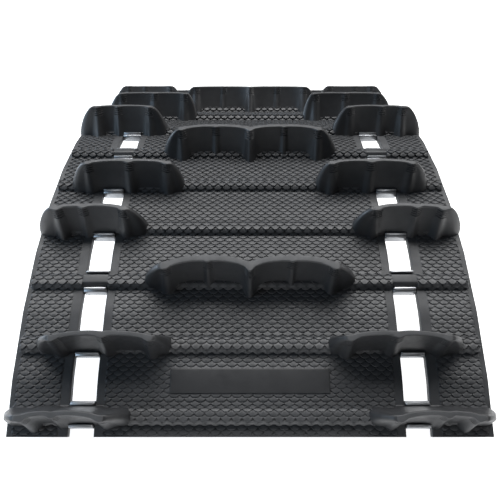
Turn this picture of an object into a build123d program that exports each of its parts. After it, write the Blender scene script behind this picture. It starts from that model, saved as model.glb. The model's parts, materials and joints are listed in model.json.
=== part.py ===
"""A cut length of snowmobile track: twelve pitches of rubber belt, resting as a low arch on its two ends.

Every pitch is one body: a belt segment with its raised cross bar, a glass fibre rod inside the bar, the outer
lugs, two steel clips round the bridges between the drive windows, and the inner drive lugs. The belt bends on a
line half way between two bars, through the middle of the windows.

Local frame of a pitch: x across the belt, y along it towards the rear, z outwards, with z = 0 on the outer face
of the belt and y = 0 in the middle of the bar. Millimetres throughout.
"""

import math
import os

from build123d import *

# belt
pitch_count = 12
pitch = 72.64  # 2.86 inch, a standard snowmobile pitch
half_width = 250.0
belt_thickness = 7.0
front_overhang = 22.0  # from the first bar to the front cut
rear_overhang = pitch - front_overhang  # so that two cut lengths meet with the same spacing
joint_gap = 0.6  # between two belt segments, at the middle of their rounded ends

# rest shape: an even arch, bent a little less towards the rear
front_joints = 6
front_bend = 7.0
rear_bend = 6.2

# cross bar and rod
bar_foot = 17.0
bar_top = 10.0
bar_height = 7.0
bar_rounding = 2.4
bar_end_margin = 4.0
rod_radius = 4.0
rod_length = 488.0

# drive windows and clips
window_centre = 173.5
window_width = 26.6
clip_width = 25.4
clip_sheet = 1.6
clip_length = 27.6
clip_lip = 4.2
clip_upturn = 3.6
clip_bend = 1.3
ear_height = 12.0
ear_length = 20.0
ear_rounding = 5.0
guide_every = 3  # every third pitch has clips with guide ears

# outer lugs
lug_height = 41.5
lug_shoulder = 0.62  # share of the height at which the ends start to round over
base_cusp = -12.0
base_apex = -5.0
base_wall = 14.3
tip_cusp = -4.6
tip_apex = 2.5
tip_wall = 6.6
rib_base = 6.0
rib_tip = 2.3
rib_base_front = -18.7
rib_tip_front = -5.9
lug_clip_clearance = 0.6
lug_edge_margin = 2.0

# inner drive lugs
drive_lug_places = (133.0, 217.0)
drive_lug_height = 24.0
drive_lug_base = (34.0, 32.0)
drive_lug_tip = (24.0, 16.0)
drive_lug_rounding = 3.0

# making of the solids
overcut = 1.0  # how far a cutting shape runs past the face that it cuts
tolerance = 0.01  # for picking out the edges and corners to round
slope_tolerance = 1e-9  # degrees, for finding the slope at which the strip rests


class LugShape:
    """One outer lug: the x of its ribs at the cusps, of its ribs at the apexes, and of its ends."""

    def __init__(self, cusps, apex_ribs, tip_ends, base_ends):
        self.cusps = cusps
        self.apex_ribs = apex_ribs
        self.tip_ends = tip_ends
        self.base_ends = base_ends

    def mirrored(self):
        """The same lug on the other side of the belt."""
        return LugShape(
            tuple(-x for x in reversed(self.cusps)),
            tuple(-x for x in reversed(self.apex_ribs)),
            tuple(-x for x in reversed(self.tip_ends)),
            tuple(-x for x in reversed(self.base_ends)),
        )


edge_lug = LugShape((146.5, 192.0, 220.5), (), (142.0, 228.0), (123.0, half_width - lug_edge_margin))
inboard_lug = LugShape((103.5, 150.5, 200.0), (), (98.3, 203.3), (85.0, 225.0))
centre_lug = LugShape((-91.0, 0.0, 91.0), (-46.0, 46.0), (-95.0, 95.0), (-116.0, 116.0))

# the lug rows repeat every three pitches
row_pattern = (
    (edge_lug.mirrored(), edge_lug),
    (inboard_lug.mirrored(), inboard_lug),
    (centre_lug,),
)


def bend_after(number):
    """Degrees that the belt bends at rest between pitch number and the next."""
    return front_bend if number <= front_joints else rear_bend


def step(place, slope, along, out):
    """The point reached from place by going along the belt and outwards, where the belt climbs at slope."""
    angle = math.radians(slope)
    y, z = place
    return (
        y + along * math.cos(angle) - out * math.sin(angle),
        z + along * math.sin(angle) + out * math.cos(angle),
    )


def chain(first_slope):
    """Each pitch's (y, z, slope), from the first bar's centre at (0, 0)."""
    place, slope = (0.0, 0.0), first_slope
    pitches = [(*place, slope)]
    for number in range(1, pitch_count):
        hinge = step(place, slope, pitch / 2, -belt_thickness / 2)
        slope -= bend_after(number)
        place = step(hinge, slope, pitch / 2, belt_thickness / 2)
        pitches.append((*place, slope))
    return pitches


def foot(pitch_place, side):
    """The centre of a drive lug's rounded tip edge, at the front (side -1) or the rear (side 1)."""
    y, z, slope = pitch_place
    along = side * (drive_lug_tip[1] / 2 - drive_lug_rounding)
    down = belt_thickness + drive_lug_height - drive_lug_rounding
    return step((y, z), slope, along, -down)


def lowest_at(pitch_place, side):
    """The height of the lowest point of an end pitch: a drive lug's tip edge, or the inner edge of the cut."""
    y, z, slope = pitch_place
    overhang = front_overhang if side < 0 else rear_overhang
    cut_edge = step((y, z), slope, side * overhang, -belt_thickness)
    return min(foot(pitch_place, side)[1] - drive_lug_rounding, cut_edge[1])


def resting_chain():
    """The chain turned so that both of its ends stand on z = 0, and centred on y = 0."""
    low, high = 0.0, 90.0
    while high - low > slope_tolerance:
        slope = (low + high) / 2
        turned = chain(slope)
        if lowest_at(turned[-1], 1) > lowest_at(turned[0], -1):
            high = slope
        else:
            low = slope
    floor = lowest_at(turned[0], -1)
    ends = [foremost_point(turned[0])[0], rearmost_point(turned[-1])[0]]
    middle = sum(ends) / 2
    return [(y - middle, z - floor, slope) for y, z, slope in turned]


def foremost_point(pitch_place):
    """The furthest forward point of the strip: a corner of the front cut, or the front lug's leaning tip."""
    y, z, slope = pitch_place
    return min(
        step((y, z), slope, -front_overhang, 0.0),
        step((y, z), slope, -front_overhang, -belt_thickness),
        step((y, z), slope, rib_tip_front, lug_height),
    )


def rearmost_point(pitch_place):
    """The corner of the rear cut that is furthest back."""
    y, z, slope = pitch_place
    return max(
        step((y, z), slope, rear_overhang, 0.0),
        step((y, z), slope, rear_overhang, -belt_thickness),
    )


def in_place(shape, pitch_place):
    """The shape moved from the local frame of a pitch to that pitch's place in the strip."""
    y, z, slope = pitch_place
    return Location((0, y, z), (slope, 0, 0)) * shape


def across(profile, length):
    """A profile drawn in y and z, extruded along x about x = 0."""
    return extrude(Plane.YZ * profile, amount=length / 2, both=True)


def span_box(x_range, y_range, z_range):
    """A box between two values on each axis."""
    sizes = [high - low for low, high in (x_range, y_range, z_range)]
    middle = [(high + low) / 2 for low, high in (x_range, y_range, z_range)]
    return Pos(*middle) * Box(*sizes)


def bar_solid(grow=0.0):
    """The raised cross bar above the belt's outer face, its sides carried on below the face by grow."""
    top_y = bar_top / 2
    foot_y = top_y + (bar_foot - bar_top) / 2 * (bar_height + grow) / bar_height
    outline = Polyline((-foot_y, -grow), (-top_y, bar_height), (top_y, bar_height), (foot_y, -grow), close=True)
    face = make_face(outline)
    corners = face.vertices().filter_by(lambda v: v.Y > bar_height / 2)
    face = fillet(corners, bar_rounding)
    return across(face, 2 * (half_width - bar_end_margin))


def rod_solid():
    """The glass fibre rod that stiffens the belt across its width."""
    return across(Circle(rod_radius), rod_length)


def carcass(first, last):
    """The flat belt of one pitch, with rounded ends where it meets its neighbours and square ends at the cuts."""
    round_centre = pitch / 2 - (belt_thickness + joint_gap) / 2
    front = -front_overhang if first else -round_centre
    rear = rear_overhang if last else round_centre
    profile = Pos((front + rear) / 2, -belt_thickness / 2) * Rectangle(rear - front, belt_thickness)
    for wanted, end in ((not first, front), (not last, rear)):
        if wanted:
            profile += Pos(end, -belt_thickness / 2) * Circle(belt_thickness / 2)
    return across(profile, 2 * half_width)


def belt_segment(first, last):
    """The belt of one pitch: carcass and bar, less the window halves at both ends and the rod's bore."""
    solid = carcass(first, last) + bar_solid()
    bridge = clip_length / 2 - clip_sheet
    for side in (-1, 1):
        for end in (-1, 1):
            y_range = sorted((end * bridge, end * pitch))
            x_range = (
                side * window_centre - window_width / 2,
                side * window_centre + window_width / 2,
            )
            solid -= span_box(x_range, y_range, (-2 * belt_thickness, belt_thickness / 2))
    return solid - rod_solid()


def clip_profile():
    """The clip's cross section: running plate inside, a wall through each window, lips folded over outside."""
    half = clip_length / 2
    inside = -belt_thickness - clip_sheet
    profile = Pos(0, inside + clip_sheet / 2) * Rectangle(clip_length, clip_sheet)
    for side in (-1, 1):
        wall_height = clip_sheet - inside
        profile += Pos(side * (half - clip_sheet / 2), inside + wall_height / 2) * Rectangle(
            clip_sheet, wall_height
        )
        profile += Pos(side * (half - clip_lip / 2), clip_sheet / 2) * Rectangle(clip_lip, clip_sheet)
        profile += Pos(side * (half - clip_lip + clip_sheet / 2), clip_upturn / 2) * Rectangle(
            clip_sheet, clip_upturn
        )
    outer_corners = profile.vertices().filter_by(lambda v: abs(abs(v.X) - half) < tolerance)
    return fillet(outer_corners, clip_bend)


def guide_ear(x):
    """One ear that stands off the running plate and keeps the slide rail in line."""
    root = -belt_thickness - clip_sheet / 2
    tip = -belt_thickness - clip_sheet - ear_height
    ear = span_box(
        (x - clip_sheet / 2, x + clip_sheet / 2), (-ear_length / 2, ear_length / 2), (tip, root)
    )
    tip_edges = ear.edges().filter_by(Axis.X).filter_by(lambda e: e.center().Z < tip + tolerance)
    return fillet(tip_edges, ear_rounding)


def clip(side, guide):
    """One steel clip round the bridge between two windows."""
    solid = across(clip_profile(), clip_width)
    if guide:
        for ear_x in (-1, 1):
            solid += guide_ear(ear_x * (clip_width - clip_sheet) / 2)
    return Pos(side * window_centre, 0, 0) * solid


def wall_outline(shape, ends, cusp_y, apex_y, wall, z):
    """A lug's scalloped wall cut level at height z: arcs between the cusps in front, and the same arcs behind."""
    stations = [ends[0], *shape.cusps, ends[1]]
    heights = [apex_y, *[cusp_y] * len(shape.cusps), apex_y]

    def run(offset):
        edges = []
        points = list(zip(stations, [y + offset for y in heights]))
        for index, (start, end) in enumerate(zip(points, points[1:])):
            if index in (0, len(points) - 2):
                edges.append(Line(start, end))
            else:
                crest = ((start[0] + end[0]) / 2, apex_y + offset)
                edges.append(ThreePointArc(start, crest, end))
        return edges, points

    front, front_points = run(0.0)
    back, back_points = run(wall)
    closing = [Line(front_points[0], back_points[0]), Line(front_points[-1], back_points[-1])]
    return Pos(0, 0, z) * make_face([*front, *back, *closing])


def between(low, high, share):
    """The value a share of the way from low to high."""
    return low + (high - low) * share


def rib(x):
    """A rib down the front of a lug, wide and far forward at its foot."""
    base = Pos(x, rib_base_front + rib_base, 0) * Circle(rib_base)
    tip = Pos(x, rib_tip_front + rib_tip, lug_height) * Circle(rib_tip)
    return loft([base, tip])


def apex_rib(x):
    """A slim rib down the middle of a scallop."""
    base = Pos(x, base_apex + rib_base / 2, 0) * Circle(rib_base)
    tip = Pos(x, tip_apex + rib_tip / 2, lug_height) * Circle(rib_tip)
    return loft([base, tip])


def clip_clearances():
    """The room that a lug leaves for the clip lips beside the bar."""
    solids = []
    reach = clip_length / 2 + lug_clip_clearance
    lip_start = clip_length / 2 - clip_lip - lug_clip_clearance
    for side in (-1, 1):
        x_range = (
            side * window_centre - clip_width / 2 - lug_clip_clearance,
            side * window_centre + clip_width / 2 + lug_clip_clearance,
        )
        for end in (-1, 1):
            y_range = sorted((end * lip_start, end * (reach + rib_base)))
            solids.append(span_box(x_range, y_range, (-overcut, clip_upturn + lug_clip_clearance)))
    return solids


def outer_lug(shape):
    """One lug: a scalloped wall that leans and thins towards its tip, with ribs, standing over the bar."""
    shoulder_ends = [
        between(base, tip, lug_shoulder**2) for base, tip in zip(shape.base_ends, shape.tip_ends)
    ]
    sections = [
        wall_outline(shape, shape.base_ends, base_cusp, base_apex, base_wall, 0.0),
        wall_outline(
            shape,
            shoulder_ends,
            between(base_cusp, tip_cusp, lug_shoulder),
            between(base_apex, tip_apex, lug_shoulder),
            between(base_wall, tip_wall, lug_shoulder),
            lug_shoulder * lug_height,
        ),
        wall_outline(shape, shape.tip_ends, tip_cusp, tip_apex, tip_wall, lug_height),
    ]
    solid = loft(sections[:2], ruled=True) + loft(sections[1:], ruled=True)
    for x in shape.cusps:
        solid += rib(x)
    for x in shape.apex_ribs:
        solid += apex_rib(x)
    solid -= bar_solid(grow=overcut)
    for clearance in clip_clearances():
        solid -= clearance
    return solid


def drive_lug(x):
    """One inner drive lug, a blunt pyramid on the belt's inner face."""
    base = Pos(x, 0, -belt_thickness) * Rectangle(*drive_lug_base)
    tip = Pos(x, 0, -belt_thickness - drive_lug_height) * Rectangle(*drive_lug_tip)
    solid = loft([base, tip], ruled=True)
    tip_z = -belt_thickness - drive_lug_height
    tip_edges = solid.edges().filter_by(lambda e: e.center().Z < tip_z + tolerance)
    return fillet(tip_edges, drive_lug_rounding)


def save(name, shapes, pitch_place):
    """Writes one node: its solids, moved to their place in the strip."""
    placed = [in_place(solid, pitch_place) for shape in shapes for solid in shape.solids()]
    node = placed[0] if len(placed) == 1 else Compound(children=placed)
    export_step(node, f"parts/{name}.step")


def main():
    os.makedirs("parts", exist_ok=True)
    lug_rows = [[outer_lug(shape) for shape in row] for row in row_pattern]
    drive_row = [drive_lug(side * x) for x in drive_lug_places for side in (-1, 1)]
    rod = rod_solid()
    for index, place in enumerate(resting_chain()):
        number = f"{index + 1:02d}"
        first = index == 0
        last = index == pitch_count - 1
        guide = index % guide_every == guide_every - 1
        save(f"belt_{number}", [belt_segment(first, last)], place)
        save(f"rod_{number}", [rod], place)
        save(f"lugs_{number}", lug_rows[index % len(lug_rows)], place)
        save(f"clips_{number}", [clip(side, guide) for side in (-1, 1)], place)
        save(f"drive_lugs_{number}", drive_row, place)


main()
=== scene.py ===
"""The looks of the cut snowmobile track: moulded belt, lugs, clips, floor, light and camera.

Every pitch has a local frame like the CAD model's: x across the belt, y along it to the rear, z outwards,
with z = 0 on the belt's outer face and y = 0 in the middle of the cross bar. Pieces are drawn there in
millimetres and put in place by Pitch.place. The belt crosses the joints: each flexing piece runs from the
middle of one bar to the middle of the next, and turns smoothly from one pitch's frame to the other's.
"""

import json
import math

import bmesh
import bpy
import numpy as np
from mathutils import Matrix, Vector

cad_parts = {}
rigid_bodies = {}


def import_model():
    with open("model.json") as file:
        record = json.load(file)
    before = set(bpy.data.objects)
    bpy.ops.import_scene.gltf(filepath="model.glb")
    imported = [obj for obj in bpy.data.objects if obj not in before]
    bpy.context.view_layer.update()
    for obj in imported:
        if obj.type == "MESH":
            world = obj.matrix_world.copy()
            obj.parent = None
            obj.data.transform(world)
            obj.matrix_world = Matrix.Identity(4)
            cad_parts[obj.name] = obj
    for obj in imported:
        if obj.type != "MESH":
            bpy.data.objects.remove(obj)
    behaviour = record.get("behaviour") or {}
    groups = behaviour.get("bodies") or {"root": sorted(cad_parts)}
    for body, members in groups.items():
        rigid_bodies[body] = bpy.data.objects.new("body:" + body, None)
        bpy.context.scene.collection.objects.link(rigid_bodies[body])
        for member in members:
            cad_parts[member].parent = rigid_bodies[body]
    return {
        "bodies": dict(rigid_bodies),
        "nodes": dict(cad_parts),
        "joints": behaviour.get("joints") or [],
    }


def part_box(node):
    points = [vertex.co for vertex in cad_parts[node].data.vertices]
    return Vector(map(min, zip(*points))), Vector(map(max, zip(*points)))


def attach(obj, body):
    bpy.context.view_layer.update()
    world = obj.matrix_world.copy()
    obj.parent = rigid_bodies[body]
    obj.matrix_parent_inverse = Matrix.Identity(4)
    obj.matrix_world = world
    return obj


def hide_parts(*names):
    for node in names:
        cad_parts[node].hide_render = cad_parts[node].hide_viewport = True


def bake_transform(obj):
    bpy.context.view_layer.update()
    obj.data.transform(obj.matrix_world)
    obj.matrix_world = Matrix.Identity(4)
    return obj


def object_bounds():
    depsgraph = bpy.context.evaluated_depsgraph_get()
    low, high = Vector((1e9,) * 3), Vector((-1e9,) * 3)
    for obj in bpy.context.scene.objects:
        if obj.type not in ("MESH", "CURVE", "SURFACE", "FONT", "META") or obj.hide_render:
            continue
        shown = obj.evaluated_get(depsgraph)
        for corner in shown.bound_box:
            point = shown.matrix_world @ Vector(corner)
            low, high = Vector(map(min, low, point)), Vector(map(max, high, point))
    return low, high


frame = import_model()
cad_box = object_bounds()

MM = 0.001

# ---------------------------------------------------------------- sizes, from the frame

joint_places = {(j["parent"], j["child"]): np.array(j["pos_m"]) / MM for j in frame["joints"]}
pitch_count = len(frame["bodies"])


def node_box(name):
    """A CAD node's lowest and highest corners at rest, in millimetres."""
    low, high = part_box(name)
    return np.array(low) / MM, np.array(high) / MM


def rod_middle(number):
    """The middle of a pitch's rod, which is the origin of its local frame."""
    low, high = node_box(f"rod_{number:02d}")
    return (low + high) / 2


def hinge_after(number):
    """The place of the joint between pitch number and the next."""
    return joint_places[(f"pitch_{number:02d}", f"pitch_{number + 1:02d}")]


pitch = float(np.linalg.norm(hinge_after(2) - hinge_after(1)))
half_width = node_box("belt_01")[1][0]
to_hinge = float(np.linalg.norm(hinge_after(1) - rod_middle(1)))
belt_thickness = 2 * math.sqrt(to_hinge**2 - (pitch / 2) ** 2)

# the belt's ends, cross bars and windows
front_cut = -22.0
rear_cut = pitch + front_cut
bar_top = 10.0
bar_foot = 17.0
bar_height = 7.0
bar_rounding = 2.2
bar_end = half_width - 5.5
bar_end_slope = 2.4
window_inner = 160.2
window_outer = 186.8
window_centre = (window_inner + window_outer) / 2
bridge_half = 12.2

# the fish-scale relief
scale_width = 10.9
rows_per_pitch = 18  # even, so that every bar meets the same row
scale_height = 0.95
scale_depth_share = 0.80  # how far a scale bulges forward, as a share of the row spacing
scale_roundness = 2.1  # the power in a scale's outline: 2 is a parabola
scale_phase = 0.25  # where the scales start across the belt, as a share of their width
pit_depth = 1.0  # of the notch where two neighbouring scales meet
pit_narrowness = 1.8  # how soon the notch ends away from the cusp, as the scale bulges
crown_pit = (0.75, 2.2)  # the bulge where the hollow behind a scale's middle starts, and its narrowness
samples_per_scale = 8
field_inner = window_inner - 9.2
field_outer = (window_outer + 10.7, half_width - 5.6)
window_clearance = 0.9  # between a window and the scales on a bar
margin_height = 0.3
bar_front_relief = 1.7  # how much higher the scales stand on the bars' front slopes
bar_rows = 2  # rows on each side of the bar's middle that count as on the bar

# the belt's own edges and those of its moulded areas
edge_step = 0.35  # between a strip's edge and its next column
edge_fall = ((0.0, 0.6), (edge_step, 0.2), (0.9, 0.0))  # distance from the edge, and how far the face falls
break_step = 0.17  # between a break and the columns on each side of it
break_clearance = 0.55  # no other column stands as close to a break as this

# where the belt bends
flex_half = 16.0

lug_height = 41.5


def mirror(values):
    """The same places on the other side of the belt, from left to right."""
    return tuple(-x for x in reversed(values))


class LugShape:
    """An outer lug.

    base and tip hold, for the foot and the tip, the y of the front at a cusp and in a hollow, and the
    thickness. cusps and apex_ribs are the x of its ribs, and feet and tips are how far each cusp's rib
    stands out there. back_share is how deep the back's hollows are beside the front's, tip_recess is how far
    the ends fall back at the tip as a share of the hollows' depth, and bow is how far the tip's ends curve
    forward. tip_ends and base_ends are the x of its ends.
    """

    def __init__(
        self, base, tip, cusps, feet, tips, back_share, tip_recess, bow, apex_ribs, tip_ends, base_ends
    ):
        self.base = base
        self.tip = tip
        self.cusps = cusps
        self.feet = feet
        self.tips = tips
        self.back_share = back_share
        self.tip_recess = tip_recess
        self.bow = bow
        self.apex_ribs = apex_ribs
        self.tip_ends = tip_ends
        self.base_ends = base_ends

    def mirrored(self):
        """The same lug on the other side of the belt."""
        return LugShape(
            base=self.base, tip=self.tip,
            cusps=mirror(self.cusps), feet=self.feet[::-1], tips=self.tips[::-1],
            back_share=self.back_share, tip_recess=self.tip_recess, bow=self.bow,
            apex_ribs=mirror(self.apex_ribs),
            tip_ends=mirror(self.tip_ends), base_ends=mirror(self.base_ends),
        )


side_base, side_tip = (-12.0, -9.2, 18.5), (-2.0, 0.4, 4.9)
edge_overhang = 1.5  # how far the edge lugs stand past the belt's edge
edge_lug = LugShape(
    base=side_base, tip=side_tip, cusps=(146.5, 192.0, 220.5), feet=(3.2, 2.6, 6.6), tips=(1.1, 1.1, 1.5),
    back_share=0.5, tip_recess=0.3, bow=4.0,
    apex_ribs=(), tip_ends=(142.0, 228.0), base_ends=(121.0, half_width + edge_overhang),
)
inboard_lug = LugShape(
    base=side_base, tip=side_tip, cusps=(103.5, 150.5, 200.0), feet=(5.0, 2.8, 2.6), tips=(1.1, 1.1, 1.1),
    back_share=0.5, tip_recess=0.3, bow=4.0,
    apex_ribs=(), tip_ends=(98.3, 203.3), base_ends=(83.0, 227.0),
)
centre_lug = LugShape(
    base=(-12.0, -5.0, 14.3), tip=(-4.6, 4.2, 7.0), cusps=(-91.0, 0.0, 91.0), feet=(5.5, 9.0, 5.5),
    tips=(1.4, 3.4, 1.4), back_share=0.85, tip_recess=-0.1, bow=0.0,
    apex_ribs=(-46.0, 46.0), tip_ends=(-95.0, 95.0), base_ends=(-119.0, 119.0),
)
lug_rows = ((edge_lug, True), (inboard_lug, True), (centre_lug, False))

# clips
clip_width = 25.4
clip_sheet = 1.6
clip_half = 13.8
clip_lip = 4.2
clip_upturn = 5.0
clip_fold = 1.3  # the radius of its folds
clip_tip_insets = (1.3, 0.4, 0.08)  # how much narrower the sheet is at its tips, which are rounded
guide_every = 3
ear_height = 12.0

# inner drive lugs
drive_places = (133.0, 217.0)
drive_height = 24.0
drive_base = (34.0, 32.0)
drive_tip = (24.0, 16.0)

# the plain panel behind the first bar
panel_half = 84.0
panel_span = (21.0, 46.5)


# ---------------------------------------------------------------- pitch frames


class Pitch:
    """One pitch at rest: where its local frame stands, and the body that it belongs to."""

    def __init__(self, number):
        self.number = number
        self.body = f"pitch_{number:02d}"
        self.origin = rod_middle(number)
        lean = math.atan2(belt_thickness, pitch)
        if number < pitch_count:
            y, z = (hinge_after(number) - self.origin)[1:]
            self.slope = math.atan2(z, y) + lean
        else:
            y, z = (self.origin - hinge_after(number - 1))[1:]
            self.slope = math.atan2(z, y) - lean

    def place(self, points):
        """Local points in millimetres, as an array of x, y, z, moved to the row frame."""
        points = np.asarray(points, float)
        cos, sin = math.cos(self.slope), math.sin(self.slope)
        x, y, z = points[..., 0], points[..., 1], points[..., 2]
        turned = np.stack([x, y * cos - z * sin, y * sin + z * cos], axis=-1)
        return turned + self.origin


pitches = [Pitch(number) for number in range(1, pitch_count + 1)]


def smoothstep(value):
    """0 below 0, 1 above 1, and a smooth rise between."""
    value = np.clip(value, 0.0, 1.0)
    return value * value * (3 - 2 * value)


def place_across_joint(first, second, points):
    """Points in the first pitch's frame, carried over to the second's frame past the flexing zone."""
    points = np.asarray(points, float)
    share = smoothstep((points[..., 1] - (pitch / 2 - flex_half)) / (2 * flex_half))[..., None]
    shifted = points - np.array([0.0, pitch, 0.0])
    return (1 - share) * first.place(points) + share * second.place(shifted)


def blend_ends(first, second):
    """Where the belt's flexing zone starts and ends, on the belt's middle plane, in metres."""
    middle = -belt_thickness / 2
    start = first.place((0.0, pitch / 2 - flex_half, middle)) * MM
    end = second.place((0.0, -pitch / 2 + flex_half, middle)) * MM
    return tuple(start), tuple(end)


# ---------------------------------------------------------------- mesh building


rest_attribute = "rest_place"
weld_distance = 0.002 * MM


def add_slab(parts, top, low):
    """Closes two grids of the same size, one above the other, into a slab."""
    parts.add_grid(top)
    parts.add_grid(low[::-1])
    parts.add_strip(low[:, 0], top[:, 0])
    parts.add_strip(top[:, -1], low[:, -1])
    parts.add_strip(top[0], low[0])
    parts.add_strip(low[-1], top[-1])


class MeshParts:
    """Collects points and faces for one piece."""

    def __init__(self):
        self.points = []
        self.faces = []
        self.finishes = []
        self.count = 0

    def add_points(self, points):
        """Adds an array of points and returns the array of their indices, of the same shape."""
        points = np.asarray(points, float)
        flat = points.reshape(-1, 3)
        indices = np.arange(self.count, self.count + len(flat)).reshape(points.shape[:-1])
        self.points.append(flat)
        self.count += len(flat)
        return indices

    def add_face(self, corners, finish=0):
        """Adds one face."""
        self.faces.append(tuple(int(c) for c in corners))
        self.finishes.append(finish)

    def add_strip(self, lower, upper, finish=0, closed=False):
        """Adds the faces between two runs of the same number of points."""
        count = len(lower)
        for a in range(count if closed else count - 1):
            b = (a + 1) % count
            self.add_face((lower[a], lower[b], upper[b], upper[a]), finish)

    def add_grid(self, grid, finish=0):
        """Adds the faces of a grid of indices."""
        for lower, upper in zip(grid, grid[1:]):
            self.add_strip(lower, upper, finish)

    def add_ring_stack(self, rings, finish=0):
        """Adds closed rings of points one above the other, joined by faces, and returns their indices."""
        indices = [self.add_points(ring) for ring in rings]
        for lower, upper in zip(indices, indices[1:]):
            self.add_strip(lower, upper, finish, closed=True)
        return indices

    def make(self, name, finishes, crease_degrees=40.0):
        """Makes the Blender object, in metres, with its faces turned outwards and its rest place stored."""
        mesh = bpy.data.meshes.new(name)
        points = np.concatenate(self.points) * MM
        mesh.from_pydata(points.tolist(), [], self.faces)
        for finish in finishes:
            mesh.materials.append(finish)
        mesh.polygons.foreach_set("material_index", self.finishes)
        shape = bmesh.new()
        shape.from_mesh(mesh)
        bmesh.ops.remove_doubles(shape, verts=shape.verts, dist=weld_distance)
        bmesh.ops.recalc_face_normals(shape, faces=shape.faces)
        shape.to_mesh(mesh)
        shape.free()
        mesh.polygons.foreach_set("use_smooth", [True] * len(mesh.polygons))
        mesh.set_sharp_from_angle(angle=math.radians(crease_degrees))
        place = mesh.attributes.new(rest_attribute, "FLOAT_VECTOR", "POINT")
        place.data.foreach_set("vector", np.array([v.co for v in mesh.vertices]).ravel())
        thing = bpy.data.objects.new(name, mesh)
        bpy.context.scene.collection.objects.link(thing)
        return thing


# ---------------------------------------------------------------- the belt


def bar_outline():
    """The outer face of one pitch in y and z, from one bar's middle to the next, as closely spaced points."""
    half_top, half_foot = bar_top / 2, bar_foot / 2
    slope = math.atan2(bar_height, half_foot - half_top)
    run = bar_rounding * math.tan(slope / 2)
    corner = (half_top, bar_height)
    centre = (corner[0] - run, bar_height - bar_rounding)
    bend = [
        (centre[0] + bar_rounding * math.sin(t), centre[1] + bar_rounding * math.cos(t))
        for t in np.linspace(0, slope, 7)
    ]
    foot_run = 1.2
    foot_bend = []
    for share in np.linspace(0, 1, 5):
        left = foot_run * (1 - share)
        before = (half_foot - left * math.cos(slope), left * math.sin(slope))
        after = (half_foot + foot_run * share, 0.0)
        foot_bend.append(tuple((1 - share) * b + share * a for b, a in zip(before, after)))
    falling = [(0.0, bar_height), *bend, *foot_bend]
    rising = [(pitch - y, z) for y, z in reversed(falling)]
    return np.array(falling + rising)


outline = bar_outline()
outline_steps = np.hypot(*np.diff(outline, axis=0).T)
outline_along = np.concatenate([[0.0], np.cumsum(outline_steps)])
pitch_along = float(outline_along[-1])
row_spacing = pitch_along / rows_per_pitch


def on_outline(along):
    """The y, z and outward normal of the belt's outer face at a distance along it from a bar's middle."""
    turns = np.floor(along / pitch_along)
    rest = along - turns * pitch_along
    y = np.interp(rest, outline_along, outline[:, 0])
    z = np.interp(rest, outline_along, outline[:, 1])
    reach = 0.7
    after = np.mod(rest + reach, pitch_along)
    before = np.mod(rest - reach, pitch_along)
    y_after = np.interp(after, outline_along, outline[:, 0]) + np.where(after < rest, pitch, 0.0)
    y_before = np.interp(before, outline_along, outline[:, 0]) - np.where(before > rest, pitch, 0.0)
    rise = np.interp(after, outline_along, outline[:, 1]) - np.interp(before, outline_along, outline[:, 1])
    length = np.hypot(y_after - y_before, rise)
    return y + turns * pitch, z, -rise / length, (y_after - y_before) / length


def along_at(y):
    """The distance along the outer face of a place at y on the flat of the belt."""
    return float(np.interp(y, outline[:, 0], outline_along)) if y >= 0 else -along_at(-y)


def scale_columns(low, high, breaks):
    """Even columns over a stretch of scales, with a close pair at each break between moulded areas."""
    step = scale_width / samples_per_scale
    even = np.arange(math.ceil(low / step) * step, high, step)
    clear = [x for x in even if all(abs(x - line) > break_clearance for line in (low, high, *breaks))]
    pairs = [line + side * break_step for line in breaks for side in (-1, 1)]
    return sorted([low, high, *clear, *pairs])


def centre_columns():
    """The columns of the belt between the two rows of windows."""
    side = [window_inner, window_inner - edge_step]
    inner = window_inner - 1.0
    scales = scale_columns(-inner, inner, (-field_inner, field_inner))
    return [*[-x for x in side], *scales, *reversed(side)]


def outer_columns():
    """The columns of the belt outside the right row of windows."""
    near = [window_outer, window_outer + edge_step]
    slope = [bar_end + 0.7, bar_end + 1.6, bar_end + bar_end_slope]
    border = [half_width - 1.2, half_width - edge_step, half_width]
    return [*near, *scale_columns(window_outer + 1.0, bar_end, field_outer), *slope, *border]


def has_scales(x, row):
    """1 where a row has scales, 0 on the smooth margins. On the bars they run up to the clips' saddles."""
    reach = np.abs(x)
    on_bar = abs((row + rows_per_pitch / 2) % rows_per_pitch - rows_per_pitch / 2) <= bar_rows
    if on_bar:
        inside = reach < window_inner - window_clearance
        outside = (reach > window_outer + window_clearance) & (reach < field_outer[1])
    else:
        inside = reach < field_inner
        outside = (reach > field_outer[0]) & (reach < field_outer[1])
    return (inside | outside).astype(float)


def edge_drop(x, edges):
    """How far the outer face falls away at the strip's own edges, which are slightly rounded."""
    drop = np.zeros_like(x)
    for edge in edges:
        distance = np.abs(x - edge)
        drop = np.maximum(drop, np.interp(distance, *zip(*edge_fall)))
    return drop


# share of the row spacing behind the scale's front, and share of the scale's height, for each line of a row
row_lines = ((0.0, 0.0), (0.02, 0.8), (0.09, 1.0), (0.38, 0.80), (0.70, 0.52))
pit_shares = (1.0, 0.75, 0.35, 0.0, 0.3)  # of the notch's depth, at each line


def bar_share(x):
    """1 along the bar, falling to 0 at its ends near the belt's edge."""
    return smoothstep((bar_end + bar_end_slope - np.abs(x)) / bar_end_slope)


def scale_bulge(x, row):
    """How far forward a row's scales reach at x: 1 in a scale's middle, 0 at the cusp between two."""
    phase = (x / scale_width + 0.5 * (row % 2) + scale_phase) % 1.0 - 0.5
    return np.maximum(0.0, 1.0 - np.abs(2 * phase) ** scale_roundness)


def row_front(x, row):
    """The distance along the belt of a row's scalloped front."""
    depth = scale_depth_share * has_scales(x, row)
    return (row + depth * (0.5 - scale_bulge(x, row))) * row_spacing


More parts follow.
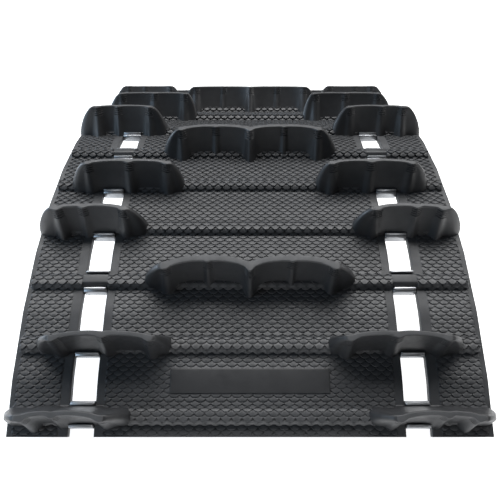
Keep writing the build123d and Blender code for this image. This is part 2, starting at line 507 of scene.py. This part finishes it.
def pit_share(x, row, line):
    """1 where a line of a row meets a notch: at the cusps, or on the last line behind the scale's middle."""
    bulge = scale_bulge(x, row)
    if line == len(row_lines) - 1:
        start, narrowness = crown_pit
        return np.clip(narrowness * (bulge - start), 0, 1)
    return np.clip(1 - pit_narrowness * bulge, 0, 1)


def belt_line(x, row, line, edges, limits):
    """One line of points across the belt: local y and z for every x."""
    share, height = row_lines[line]
    front, next_front = row_front(x, row), row_front(x, row + 1)
    along = front + share * (next_front - front)
    cut = (along < limits[0]) | (along > limits[1])
    along = np.clip(along, *limits)
    y, z, normal_y, normal_z = on_outline(along)
    pit = pit_shares[line] * pit_depth * pit_share(x, row, line)
    moulded = (has_scales(x, row) > 0) & ~cut
    steepness = np.clip(-normal_y, 0, 1)
    relief = (1 + bar_front_relief * steepness) * (height * scale_height - pit)
    lift = np.where(moulded, relief, margin_height)
    taper = bar_share(x)
    out = z * taper + normal_z * lift - edge_drop(x, edges)
    return np.stack([x, y + normal_y * lift * taper, out], axis=-1)


def belt_rows(first_row, last_row):
    """The rows and lines of one belt piece: every line of each row, then the first line of the row after."""
    rows = [(row, line) for row in range(first_row, last_row) for line in range(len(row_lines))]
    return [*rows, (last_row, 0)]


def add_belt_strip(parts, columns, rows, put, limits):
    """A closed strip of belt: the moulded outer face, the plain inner face, and the sides and ends."""
    x = np.array(columns)
    edges = (columns[0], columns[-1])
    lines = [belt_line(x, row, line, edges, limits) for row, line in rows]
    top = parts.add_points(put(np.array(lines)))
    parts.add_grid(top)
    inner = -belt_thickness
    side_y = np.array([[line[0, 1], line[-1, 1]] for line in lines])
    side_x = np.broadcast_to([x[0], x[-1]], side_y.shape)
    sides = np.stack([side_x, side_y, np.full(side_y.shape, inner)], axis=-1)
    low = parts.add_points(put(sides[1:-1]))
    ends = []
    for end in (0, -1):
        points = np.stack([x, np.full(len(x), side_y[end].mean()), np.full(len(x), inner)], axis=-1)
        ends.append(parts.add_points(put(points)))
    left = np.array([ends[0][0], *low[:, 0], ends[1][0]])
    right = np.array([ends[0][-1], *low[:, 1], ends[1][-1]])
    parts.add_strip(left, top[:, 0])
    parts.add_strip(top[:, -1], right)
    parts.add_strip(top[0], ends[0])
    parts.add_strip(ends[1], top[-1])
    parts.add_face([*ends[0], right[1], left[1]])
    parts.add_strip(left[1:-1], right[1:-1])
    parts.add_face([*reversed(ends[1]), left[-2], right[-2]])


def add_bridge(parts, side, span, put):
    """The plain bridge between two windows, under the clip, which carries the bar across."""
    sink = 0.3
    overlap = 1.0
    y_values = np.unique(np.concatenate([outline[:, 0], -outline[:, 0], [-bridge_half, bridge_half]]))
    y_values = y_values[(y_values >= span[0]) & (y_values <= span[1])]
    profile = np.interp(np.abs(y_values), outline[:, 0], outline[:, 1]) - sink
    x_values = (window_inner - overlap, window_centre, window_outer + overlap)
    x_values = [side * x for x in (x_values if side > 0 else reversed(x_values))]
    top = np.array([[(x, y, z) for x in x_values] for y, z in zip(y_values, profile)])
    low = top.copy()
    low[..., 2] = -belt_thickness + sink
    add_slab(parts, parts.add_points(put(top)), parts.add_points(put(low)))


def belt_piece(name, rows, put, limits, bridges):
    """One piece of belt across its whole width."""
    parts = MeshParts()
    right = outer_columns()
    left = [-x for x in reversed(right)]
    for columns in (left, centre_columns(), right):
        add_belt_strip(parts, columns, rows, put, limits)
    for span, bridge_put in bridges:
        for side in (-1, 1):
            add_bridge(parts, side, span, bridge_put)
    piece = parts.make(name, [belt_rubber], crease_degrees=35.0)
    return piece


def belt_placer(one, two):
    """A function that puts belt points in place across the joint between two pitches."""
    return lambda points: place_across_joint(one, two, points)


def make_belt():
    """The belt, from the front cut to the rear cut, in one piece per joint and one at each end."""
    first, last = pitches[0], pitches[-1]
    rows = belt_rows(-math.ceil(along_at(-front_cut) / row_spacing) - 1, 0)
    limits = (along_at(front_cut), math.inf)
    front = belt_piece("belt_front_end", rows, first.place, limits, [((-bridge_half, 0.0), first.place)])
    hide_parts("belt_01")
    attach(front, first.body)
    limits = (-math.inf, math.inf)
    for one, two in zip(pitches, pitches[1:]):
        bridges = [((0.0, bridge_half), one.place), ((-bridge_half, 0.0), two.place)]
        name = f"belt_flex_{one.number:02d}"
        piece = belt_piece(name, belt_rows(0, rows_per_pitch), belt_placer(one, two), limits, bridges)
        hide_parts(f"belt_{two.number:02d}")
        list(blend_ends(one, two))
        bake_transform(piece)
    rows = belt_rows(0, math.ceil(along_at(rear_cut) / row_spacing) + 1)
    limits = (-math.inf, along_at(rear_cut))
    rear = belt_piece("belt_rear_end", rows, last.place, limits, [((0.0, bridge_half), last.place)])
    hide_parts(f"belt_{last.number:02d}")
    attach(rear, last.body)


def make_panel():
    """The raised panel on the belt behind the first bar, with a plain face."""
    one, two = pitches[0], pitches[1]
    top, foot = 1.35, -0.8
    border = 2.0
    edge_steps = ((0.0, foot), (0.05, top - 0.55), (0.25, top - 0.15), (0.7, top))
    x_inner = np.linspace(-panel_half + border, panel_half - border, 41)
    y_inner = np.linspace(panel_span[0] + border, panel_span[1] - border, 12)
    x_values = [-panel_half + e for e, _ in edge_steps] + [*x_inner]
    x_values += [panel_half - e for e, _ in reversed(edge_steps)]
    y_values = [panel_span[0] + e for e, _ in edge_steps] + [*y_inner]
    y_values += [panel_span[1] - e for e, _ in reversed(edge_steps)]
    reach = [e for e, _ in edge_steps]
    level = [h for _, h in edge_steps]
    x, y = np.meshgrid(x_values, y_values)
    x_in = np.interp(panel_half - np.abs(x), reach, level)
    y_in = np.interp(np.minimum(y - panel_span[0], panel_span[1] - y), reach, level)
    upper = np.stack([x, y, np.minimum(x_in, y_in)], axis=-1)
    lower = upper.copy()
    lower[..., 2] = foot - 0.4
    parts = MeshParts()
    top_grid = parts.add_points(place_across_joint(one, two, upper))
    low_grid = parts.add_points(place_across_joint(one, two, lower))
    add_slab(parts, top_grid, low_grid)
    panel = parts.make("blank_panel", [panel_rubber])
    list(blend_ends(one, two))
    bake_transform(panel)


# ---------------------------------------------------------------- outer lugs

rib_half = (10.0, 6.5)  # half a rib's width, at its foot and at its tip
apex_rib_reach = (5.0, 1.3)  # how far the slim ribs in the hollows stand out, at foot and tip
apex_rib_half = (7.0, 4.2)
end_recess = 0.55  # how far a lug's ends fall back at the foot, as a share of the hollows' depth
cusp_rounding = (1.0, 0.45)  # how round the walls are at the cusps, at foot and tip
sipe_levels = (0.72, 0.79, 0.86, 0.93)
sipe_profile = ((-0.020, 0.0), (-0.008, 1.0), (0.009, 1.0), (0.012, 0.0))  # height off the level, depth share
sipe_depth = 1.4
sipe_half = 4.2  # half a groove's length at its full depth
sipe_runout = 1.4  # over which it ends
flare_power = 1.3  # how quickly a lug's sizes leave their value at the foot
end_roundness = 1.5  # the power in the outline of a lug's end
scallop_power = 2.6  # the power in a hollow's outline
rib_power = 1.35  # widens a rib's crest
recess_power = 1.3  # how slowly the ends start to fall back beyond the last cusp
closing_start = 0.7  # where the front and back begin to meet at a lug's end, as a share of the way to it
closing_share = 0.8  # how far they close
hollow_step = 4.5  # between the columns in a hollow, at least
rib_offsets = (0.0, 0.7, 1.4, 2.2, 3.2, 4.5, 6.2, 8.4)
end_steps = (0.04, 0.09, 0.15, 0.22, 0.30, 0.40, 0.52, 0.64, 0.75, 0.84, 0.91, 0.96, 0.99, 1.0)


def lug_levels():
    """The heights, as shares of the lug's height, of the rings that make up its walls."""
    plain = [-0.04, 0.0, 0.05, 0.10, 0.16, 0.23, 0.31, 0.40, 0.49, 0.58, 0.65]
    sipes = [level + offset for level in sipe_levels for offset, _ in sipe_profile]
    return [*plain, *sipes, 0.972]


def flare(base, tip, level):
    """A size that goes from its value at the foot to that at the tip, faster near the foot."""
    return tip + (base - tip) * max(0.0, 1.0 - level) ** flare_power


def lug_end(ends_base, ends_tip, level):
    """The x of a lug's end at a level: steep at the foot, rounding over to the tip."""
    share = max(0.0, 1.0 - max(0.0, level) ** end_roundness) ** (1 / end_roundness)
    return ends_tip + (ends_base - ends_tip) * share


def lug_stations(cusps, apex_ribs):
    """The fixed x of the columns between the first and the last cusp, closer together beside the ribs."""
    ribs = [*cusps, *apex_ribs]
    near = {round(rib + side * offset, 3) for rib in ribs for side in (-1, 1) for offset in rib_offsets}
    for start, end in zip(sorted(ribs), sorted(ribs)[1:]):
        clear = (start + rib_offsets[-1], end - rib_offsets[-1])
        count = max(2, int((clear[1] - clear[0]) / hollow_step))
        near |= {round(x, 3) for x in np.linspace(*clear, count) if clear[1] > clear[0]}
    return np.array(sorted(x for x in near if cusps[0] <= x <= cusps[-1]))


def scallop(x, cusps, rounding):
    """0 at every cusp, 1 at the middle of the hollow between two cusps, with the cusps rounded by a share."""
    hollow = np.zeros_like(x)
    for start, end in zip(cusps, cusps[1:]):
        inside = (x >= start) & (x <= end)
        turn = np.abs(2 * x - start - end) / (end - start)
        hollow = np.where(inside, 1 - turn**scallop_power, hollow)
    return (1 - rounding) * hollow + rounding * smoothstep(hollow)


def rib_shape(x, rib, half):
    """A round rib's outline: 1 in the middle, 0 beyond half its width."""
    off = np.clip(np.abs(x - rib) / half, 0, 1)
    return 0.5 * (1 + np.cos(math.pi * off**rib_power))


def rib_bulge(x, shape, level):
    """How far the ribs stand out in front of the wall at x."""
    bulge = np.zeros_like(x)
    for rib, foot, tip in zip(shape.cusps, shape.feet, shape.tips):
        bulge = np.maximum(bulge, flare(foot, tip, level) * rib_shape(x, rib, flare(*rib_half, level)))
    for rib in shape.apex_ribs:
        reach = flare(*apex_rib_reach, level)
        bulge = np.maximum(bulge, reach * rib_shape(x, rib, flare(*apex_rib_half, level)))
    return bulge


def sipe_cut(x, ribs, level):
    """How deep the short level grooves across the ribs' fronts go at x."""
    nearest = min(sipe_levels, key=lambda sipe: abs(level - sipe))
    share = float(np.interp(level - nearest, *zip(*sipe_profile)))
    cut = np.zeros_like(x)
    for rib in ribs:
        fading = smoothstep((np.abs(x - rib) - sipe_half) / sipe_runout)
        cut = np.maximum(cut, share * sipe_depth * (1 - fading))
    return cut


def lug_ring(shape, level, height, inset):
    """One closed ring round a lug at a level: the front from left to right, then the back to the left."""
    first, last = shape.cusps[0], shape.cusps[-1]
    inner = lug_stations(shape.cusps, shape.apex_ribs)
    steps = np.array(end_steps)
    left_end = lug_end(shape.base_ends[0], shape.tip_ends[0], level) + inset
    right_end = lug_end(shape.base_ends[1], shape.tip_ends[1], level) - inset
    x = np.concatenate([first - (first - left_end) * steps[::-1], inner, last + (right_end - last) * steps])
    turn = np.concatenate([steps[::-1], np.zeros(len(inner)), steps])
    recess = flare(end_recess, shape.tip_recess, level)
    hollow = scallop(x, shape.cusps, flare(*cusp_rounding, level)) + recess * turn**recess_power
    cusp, apex, wall = (flare(base, tip, level) for base, tip in zip(shape.base, shape.tip))
    face = cusp + (apex - cusp) * hollow
    rear = apex + wall - shape.back_share * (apex - cusp) * (1 - hollow)
    middle, half_wall = (face + rear) / 2, (rear - face) / 2
    closing = np.sqrt(1 - closing_share * np.clip((turn - closing_start) / (1 - closing_start), 0, 1) ** 2)
    cut = sipe_cut(x, [*shape.cusps, *shape.apex_ribs], level)
    front = middle - half_wall * closing - rib_bulge(x, shape, level) + cut + inset
    back = middle + half_wall * closing - inset
    start, end = shape.tip_ends
    off_middle = np.clip(np.abs(2 * x - start - end) / (end - start), 0, 1)
    forward = shape.bow * max(0.0, level) * off_middle**2
    z = np.full_like(x, height)
    front_line = np.stack([x, front - forward, z], axis=-1)
    back_line = np.stack([x, back - forward, z], axis=-1)
    return np.concatenate([front_line, back_line[::-1]])


def add_lug(parts, shape, put):
    """One outer lug, with a rounded rim."""
    rings = [lug_ring(shape, level, level * lug_height, 0.0) for level in lug_levels()]
    rim = ((0.982, 0.12, 1.0), (0.992, 0.35, 0.35), (1.0, 0.75, 0.06), (1.0, 1.3, 0.0))
    rings += [lug_ring(shape, level, lug_height - drop, inset) for level, inset, drop in rim]
    count = len(rings[0]) // 2
    indices = [parts.add_points(put(ring)) for ring in rings]
    # Finish 0 on the walls carries painted shade; finish 1 on the rim is lighter, partly from wear and partly
    # as a painted highlight.
    for number, (lower, upper) in enumerate(zip(indices, indices[1:])):
        parts.add_strip(lower, upper, 1 if number >= len(rings) - 3 else 0, closed=True)
    for ring, finish in ((indices[0], 0), (indices[-1], 1)):
        parts.add_strip(ring[:count], ring[count:][::-1], finish)


def make_lugs(place):
    """The outer lugs of one pitch."""
    shape, paired = lug_rows[(place.number - 1) % len(lug_rows)]
    parts = MeshParts()
    add_lug(parts, shape, place.place)
    if paired:
        add_lug(parts, shape.mirrored(), place.place)
    lugs = parts.make(f"outer_lugs_{place.number:02d}", [lug_wall_painted_shade, rim_wear_and_painted_highlight], crease_degrees=42.0)
    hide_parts(f"lugs_{place.number:02d}")
    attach(lugs, place.body)


# ---------------------------------------------------------------- clips and saddles


def rounded_path(corners, radius, steps=5):
    """A path through the corners with each inner corner rounded."""
    corners = [np.array(c, float) for c in corners]
    path = [corners[0]]
    for before, corner, after in zip(corners, corners[1:], corners[2:]):
        back = (before - corner) / np.linalg.norm(before - corner)
        ahead = (after - corner) / np.linalg.norm(after - corner)
        for share in np.linspace(0, 1, steps):
            start = corner + back * radius * (1 - share) ** 2
            path.append(start + ahead * radius * share**2)
    path.append(corners[-1])
    return np.array(path)


def path_normals(path):
    """The left-hand normals of a path, from its neighbours' directions."""
    along = np.gradient(path, axis=0)
    along /= np.linalg.norm(along, axis=1)[:, None]
    return np.stack([-along[:, 1], along[:, 0]], axis=-1)


def clip_stations():
    """The middle line of the clip's sheet, as y and z, and half its width at each place."""
    lip_y = clip_half - clip_lip + clip_sheet / 2
    wall_y = clip_half - clip_sheet / 2
    lip_z = clip_sheet / 2
    plate_z = -belt_thickness - clip_sheet / 2
    tip = clip_upturn - 0.2
    side = [(lip_y, tip), (lip_y, lip_z), (wall_y, lip_z), (wall_y, plate_z)]
    path = rounded_path([(-y, z) for y, z in side] + [(y, z) for y, z in reversed(side)], clip_fold)
    extra = [path[0] + (path[1] - path[0]) * share for share in (0.2, 0.45)]
    closing = [path[-1] + (path[-2] - path[-1]) * share for share in (0.45, 0.2)]
    path = np.concatenate([path[:1], extra, path[1:-1], closing, path[-1:]])
    half = np.full(len(path), clip_width / 2)
    half[:3] -= clip_tip_insets
    half[-3:] -= clip_tip_insets[::-1]
    return path, half


def add_clip(parts, side, put):
    """One clip: a sheet of steel folded round the bridge between two windows."""
    path, half = clip_stations()
    normals = path_normals(path)
    soft = 0.3
    thick = clip_sheet / 2
    section = [(-1, soft, thick), (1, soft, thick), (1, 0, thick - soft), (1, 0, soft - thick)]
    section += [(1, soft, -thick), (-1, soft, -thick), (-1, 0, soft - thick), (-1, 0, thick - soft)]
    rings = []
    for middle, normal, reach in zip(path, normals, half):
        ring = []
        for way, inset, out in section:
            y, z = middle + normal * out
            ring.append((side * window_centre + way * (reach - inset), y, z))
        rings.append(put(np.array(ring)))
    indices = parts.add_ring_stack(rings)
    parts.add_face(indices[0])
    parts.add_face(reversed(indices[-1]))


def add_ear(parts, x, put):
    """One guide ear: a rounded plate that stands off the running plate."""
    root, tip = -belt_thickness - clip_sheet / 2, -belt_thickness - clip_sheet - ear_height
    half, round_half = 10.0, 5.0
    corners = [(-half, root), (-half, tip), (half, tip), (half, root)]
    edge = rounded_path(corners, round_half, 8)
    centre = np.array([0.0, (root + tip) / 2])
    rings = []
    for across, inset in ((-1.0, 0.03), (-0.6, 0.0), (0.6, 0.0), (1.0, 0.03)):
        ring = edge + (centre - edge) * inset
        points = np.stack([np.full(len(ring), x + across * clip_sheet / 2), ring[:, 0], ring[:, 1]], axis=-1)
        rings.append(put(points))
    indices = parts.add_ring_stack(rings)
    parts.add_face(reversed(indices[0]))
    parts.add_face(indices[-1])


def make_clips(place):
    """The two clips of one pitch, with guide ears on every third pitch."""
    parts = MeshParts()
    for side in (-1, 1):
        add_clip(parts, side, place.place)
        if place.number % guide_every == 0:
            for way in (-1, 1):
                add_ear(parts, side * window_centre + way * (clip_width - clip_sheet) / 2, place.place)
    clips = parts.make(f"window_clips_{place.number:02d}", [clip_steel], crease_degrees=50.0)
    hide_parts(f"clips_{place.number:02d}")
    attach(clips, place.body)


def make_saddles(place):
    """The smooth stretches of bar between the clips' lips."""
    half = clip_half - clip_lip - 0.7
    y_values = outline[outline[:, 0] < half][:, 0]
    y_values = np.concatenate([-y_values[::-1], y_values[1:]])
    z_values = np.interp(np.abs(y_values), outline[:, 0], outline[:, 1])
    parts = MeshParts()
    for side in (-1, 1):
        rings = []
        reach = window_outer - window_centre + 1.2
        for across, lift in ((-reach, -0.5), (-reach + 0.5, 0.35), (-reach + 1.4, 0.6)):
            rings.append((across, lift))
        rings += [(-across, lift) for across, lift in reversed(rings)]
        placed = []
        for across, lift in rings:
            x = side * window_centre + across
            over = [(x, y, z + lift) for y, z in zip(y_values, z_values)]
            under = [(x, y_values[-1], -1.0), (x, y_values[0], -1.0)]
            placed.append(place.place(np.array(over + under)))
        indices = parts.add_ring_stack(placed)
        parts.add_face(indices[0])
        parts.add_face(reversed(indices[-1]))
    saddles = parts.make(f"bar_saddles_{place.number:02d}", [saddle_rubber])
    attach(saddles, place.body)


# ---------------------------------------------------------------- inner drive lugs


def rounded_rectangle(half_x, half_y, radius, steps=5):
    """The outline of a rectangle with rounded corners, as x and y."""
    points = []
    for quarter, (way_x, way_y) in enumerate(((1, 1), (-1, 1), (-1, -1), (1, -1))):
        centre = np.array([way_x * (half_x - radius), way_y * (half_y - radius)])
        for share in np.linspace(0, 1, steps):
            angle = (quarter + share) * math.pi / 2
            points.append(centre + radius * np.array([math.cos(angle), math.sin(angle)]))
    return np.array(points)


def drive_lug_rings():
    """Depth below the inner face, and grow or shrink of the outline, of each ring."""
    rounding = 3.0
    shoulder = drive_height - rounding
    rings = [(-0.6, 2.2), (0.0, 1.9), (0.5, 1.0), (1.2, 0.4), (2.2, 0.0)]
    rings += [(depth, 0.0) for depth in np.linspace(4.0, shoulder, 5)]
    for turn in np.linspace(0.3, 1.5, 5):
        rings.append((shoulder + rounding * math.sin(turn), -rounding * (1 - math.cos(turn))))
    return [*rings, (drive_height, -rounding)]


def make_drive_lugs(place):
    """The four blunt lugs inside the belt that the drive sprockets push on."""
    parts = MeshParts()
    for x in (side * at for at in drive_places for side in (-1, 1)):
        rings = []
        for depth, grow in drive_lug_rings():
            share = min(1.0, max(0.0, depth / drive_height))
            half_x, half_y = ((b + (t - b) * share) / 2 + grow for b, t in zip(drive_base, drive_tip))
            shape = rounded_rectangle(half_x, half_y, max(1.2, 3.2 + grow / 2))
            z = np.full(len(shape), -belt_thickness - depth)
            rings.append(place.place(np.stack([shape[:, 0] + x, shape[:, 1], z], axis=-1)))
        indices = parts.add_ring_stack(rings)
        parts.add_face(indices[0])
        parts.add_face(reversed(indices[-1]))
    lugs = parts.make(f"inner_lugs_{place.number:02d}", [drive_rubber], crease_degrees=60.0)
    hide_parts(f"drive_lugs_{place.number:02d}")
    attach(lugs, place.body)


# ---------------------------------------------------------------- materials


def new_material(name):
    """A material with a Principled shader: its node tree and the shader."""
    finish = bpy.data.materials.new(name)
    finish.use_nodes = True
    tree = finish.node_tree
    shader = next(node for node in tree.nodes if node.type == "BSDF_PRINCIPLED")
    return finish, tree, shader


def place_on_rest(tree, stretch=(1.0, 1.0, 1.0)):
    """The point's place at rest, so that a pattern stays put when the belt bends."""
    place = tree.nodes.new("ShaderNodeAttribute")
    place.attribute_name = rest_attribute
    mapping = tree.nodes.new("ShaderNodeMapping")
    mapping.inputs["Scale"].default_value = stretch
    tree.links.new(place.outputs["Vector"], mapping.inputs["Vector"])
    return mapping.outputs["Vector"]


def noise(tree, place, size_mm, detail=3.0, rough=0.55):
    """Noise with features of about the given size, 0 to 1."""
    texture = tree.nodes.new("ShaderNodeTexNoise")
    texture.inputs["Scale"].default_value = 1 / (size_mm * MM)
    texture.inputs["Detail"].default_value = detail
    texture.inputs["Roughness"].default_value = rough
    tree.links.new(place, texture.inputs["Vector"])
    return texture.outputs["Fac"]


def ramp(tree, value, low, high, from_low=0.3, from_high=0.7):
    """The value mapped from one range to another."""
    node = tree.nodes.new("ShaderNodeMapRange")
    for name, number in (("From Min", from_low), ("From Max", from_high), ("To Min", low), ("To Max", high)):
        node.inputs[name].default_value = number
    tree.links.new(value, node.inputs["Value"])
    return node.outputs["Result"]


def mix(tree, share, one, two):
    """A colour between two colours, each a link or a plain colour."""
    node = tree.nodes.new("ShaderNodeMix")
    node.data_type = "RGBA"
    for index, colour in ((6, one), (7, two)):
        if isinstance(colour, tuple):
            node.inputs[index].default_value = (*colour, 1.0)
        else:
            tree.links.new(colour, node.inputs[index])
    tree.links.new(share, node.inputs[0])
    return node.outputs[2]


def rubber(name, dark, light, rough, grain_mm=0.6, grain_strength=0.12, scuffs=0.25):
    """Moulded rubber: mottled tone, faint dusty scuffs, a fine grain, and an uneven sheen."""
    finish, tree, shader = new_material(name)
    place = place_on_rest(tree)
    mottle = ramp(tree, noise(tree, place, 14.0, 4.0), 0.0, 1.0)
    tone = mix(tree, mottle, dark, light)
    scuff = ramp(tree, noise(tree, place, 3.0, 6.0, 0.7), 0.0, scuffs, 0.58, 0.78)
    dusty = tuple(min(1.0, c * 1.8 + 0.01) for c in light)
    tree.links.new(mix(tree, scuff, tone, dusty), shader.inputs["Base Color"])
    sheen = ramp(tree, noise(tree, place, 8.0, 3.0), rough - 0.06, rough + 0.08)
    tree.links.new(sheen, shader.inputs["Roughness"])
    bump = tree.nodes.new("ShaderNodeBump")
    bump.inputs["Strength"].default_value = grain_strength
    bump.inputs["Distance"].default_value = 0.2 * MM
    tree.links.new(noise(tree, place, grain_mm, 2.0), bump.inputs["Height"])
    tree.links.new(bump.outputs["Normal"], shader.inputs["Normal"])
    shader.inputs["Specular IOR Level"].default_value = 0.45
    return finish


def brushed_steel(name):
    """Bright stamped steel, brushed along the fold."""
    finish, tree, shader = new_material(name)
    lines = place_on_rest(tree, (0.12, 1.0, 1.0))
    streak = noise(tree, lines, 0.5, 3.0)
    patch = noise(tree, place_on_rest(tree), 9.0, 3.0)
    tone = mix(tree, ramp(tree, patch, 0.0, 1.0), (0.33, 0.34, 0.355), (0.41, 0.42, 0.435))
    tree.links.new(tone, shader.inputs["Base Color"])
    shader.inputs["Metallic"].default_value = 1.0
    tree.links.new(ramp(tree, streak, 0.36, 0.46), shader.inputs["Roughness"])
    bump = tree.nodes.new("ShaderNodeBump")
    bump.inputs["Strength"].default_value = 0.03
    bump.inputs["Distance"].default_value = 0.05 * MM
    tree.links.new(streak, bump.inputs["Height"])
    tree.links.new(bump.outputs["Normal"], shader.inputs["Normal"])
    return finish


def glass_fibre(name):
    """Pultruded glass fibre: pale, with lengthwise strands. It is used on the CAD model's own rods."""
    finish, tree, shader = new_material(name)
    coordinates = tree.nodes.new("ShaderNodeTexCoord")
    mapping = tree.nodes.new("ShaderNodeMapping")
    mapping.inputs["Scale"].default_value = (0.03, 1.0, 1.0)
    tree.links.new(coordinates.outputs["Object"], mapping.inputs["Vector"])
    strands = noise(tree, mapping.outputs["Vector"], 0.8, 3.0)
    tone = mix(tree, ramp(tree, strands, 0.0, 1.0), (0.48, 0.46, 0.30), (0.68, 0.66, 0.48))
    tree.links.new(tone, shader.inputs["Base Color"])
    tree.links.new(ramp(tree, strands, 0.35, 0.6), shader.inputs["Roughness"])
    return finish


def floor_finish():
    """A pale plain floor that stays bright under the belt."""
    finish, tree, shader = new_material("pale_floor")
    coordinates = tree.nodes.new("ShaderNodeTexCoord")
    patch = noise(tree, coordinates.outputs["Object"], 400.0, 2.0)
    tone = mix(tree, patch, (0.86, 0.86, 0.86), (0.89, 0.89, 0.89))
    tree.links.new(tone, shader.inputs["Base Color"])
    shader.inputs["Roughness"].default_value = 0.9
    shader.inputs["Specular IOR Level"].default_value = 0.0
    shader.inputs["Emission Color"].default_value = (1.0, 1.0, 1.0, 1.0)
    shader.inputs["Emission Strength"].default_value = 0.9
    return finish


# ---------------------------------------------------------------- floor, light and camera


def make_floor():
    """A large round floor under the object."""
    rim = 72
    level = cad_box[0][2] / MM
    parts = MeshParts()
    angles = np.linspace(0, 2 * math.pi, rim, endpoint=False)
    across, along, flat = np.cos(angles), np.sin(angles), np.full(rim, level)
    rings = [np.stack([reach * across, reach * along, flat], axis=-1) for reach in (200.0, 9000.0)]
    indices = [parts.add_points(ring) for ring in rings]
    parts.add_strip(indices[0], indices[1], closed=True)
    parts.add_face(indices[0])
    floor = parts.make("floor", [floor_finish()])


def aim(thing, place, target):
    """Puts a light or camera at a place, looking at a target, both in metres."""
    from_to = [t - p for p, t in zip(place, target)]
    flat = math.hypot(from_to[0], from_to[1])
    thing.location = place
    thing.rotation_euler = (math.atan2(flat, -from_to[2]), 0.0, math.atan2(-from_to[0], from_to[1]))


def area_light(name, place, size, watts, colour=(1.0, 1.0, 1.0)):
    """A soft rectangular light aimed at the middle of the object."""
    data = bpy.data.lights.new(name, "AREA")
    data.shape = "RECTANGLE"
    data.size, data.size_y = size
    data.energy = watts
    data.color = colour
    light = bpy.data.objects.new(name, data)
    bpy.context.scene.collection.objects.link(light)
    aim(light, place, (0.0, 0.0, 0.08))


def make_light():
    """Soft light from above and behind, a cool rim from the left, and a weak fill from the front."""
    area_light("key_light", (0.0, 0.60, 2.2), (3.4, 1.0), 108.0)
    area_light("front_fill", (0.0, -1.6, 1.2), (2.4, 0.6), 2.0)
    area_light("left_front", (-1.9, -0.9, 0.7), (1.0, 0.9), 13.0, (0.55, 0.77, 1.0))
    area_light("left_rim", (-1.8, 0.6, 0.5), (0.8, 0.6), 24.0, (0.70, 0.84, 1.0))
    area_light("right_rim", (1.8, 0.5, 0.8), (0.8, 0.8), 9.0)
    world = bpy.data.worlds.new("studio")
    world.use_nodes = True
    background = next(node for node in world.node_tree.nodes if node.type == "BACKGROUND")
    background.inputs["Color"].default_value = (1.0, 1.0, 1.0, 1.0)
    background.inputs["Strength"].default_value = 0.04
    bpy.context.scene.world = world
    bpy.context.scene.view_settings.view_transform = "Standard"


camera_tilt = math.radians(15.32)  # between the view and the normal of the first pitch's face
camera_back = 0.5704  # from the first bar, along the view
camera_up = 0.1702  # above the first bar, across the view
camera_lens = 39.74


def make_camera():
    """The camera in front of the belt, looking down along it."""
    data = bpy.data.cameras.new("camera")
    data.lens = camera_lens
    data.sensor_width = 36.0
    camera = bpy.data.objects.new("camera", data)
    bpy.context.scene.collection.objects.link(camera)
    first = pitches[0].origin * MM
    up_from_below = pitches[0].slope + camera_tilt
    ahead = np.array([0.0, math.sin(up_from_below), -math.cos(up_from_below)])
    above = np.array([0.0, math.cos(up_from_below), math.sin(up_from_below)])
    camera.location = tuple(first - ahead * camera_back + above * camera_up)
    camera.rotation_euler = (up_from_below, 0.0, 0.0)
    bpy.context.scene.camera = camera


# ---------------------------------------------------------------- the whole scene

belt_rubber = rubber(
    "moulded_belt_rubber", (0.034, 0.035, 0.037), (0.048, 0.049, 0.052), 0.52
)
panel_rubber = rubber(
    "smooth_panel_rubber", (0.022, 0.0225, 0.024), (0.028, 0.0285, 0.030), 0.48, 1.2, 0.05, 0.1
)
saddle_rubber = rubber(
    "smooth_bar_rubber", (0.034, 0.035, 0.037), (0.043, 0.044, 0.047), 0.45, 1.2, 0.05, 0.1
)
# The lug walls are the belt's own rubber painted about twice as dark: painted shade for walls that face away
# from the key light.
lug_wall_painted_shade = rubber(
    "lug_wall_rubber_painted_shade", (0.016, 0.0165, 0.018), (0.023, 0.024, 0.026), 0.46, 0.8, 0.10, 0.12
)
# The rims are lighter than the belt and the walls: partly wear on the lug tops, partly a painted highlight on
# faces that look up to the key light.
rim_wear_and_painted_highlight = rubber(
    "lug_rim_wear_and_painted_highlight", (0.046, 0.047, 0.049), (0.064, 0.065, 0.068), 0.58, 0.6, 0.12, 0.3
)
drive_rubber = rubber(
    "drive_lug_rubber", (0.024, 0.0245, 0.026), (0.034, 0.035, 0.037), 0.50, 0.8, 0.10, 0.2
)
clip_steel = brushed_steel("brushed_clip_steel")
rod_glass = glass_fibre("rod_glass_fibre")

make_belt()
make_panel()
for each in pitches:
    make_lugs(each)
    make_clips(each)
    make_saddles(each)
    make_drive_lugs(each)
    rod = frame["nodes"][f"rod_{each.number:02d}"]
    rod.data.materials.clear()
    rod.data.materials.append(rod_glass)
make_floor()
make_light()
make_camera()
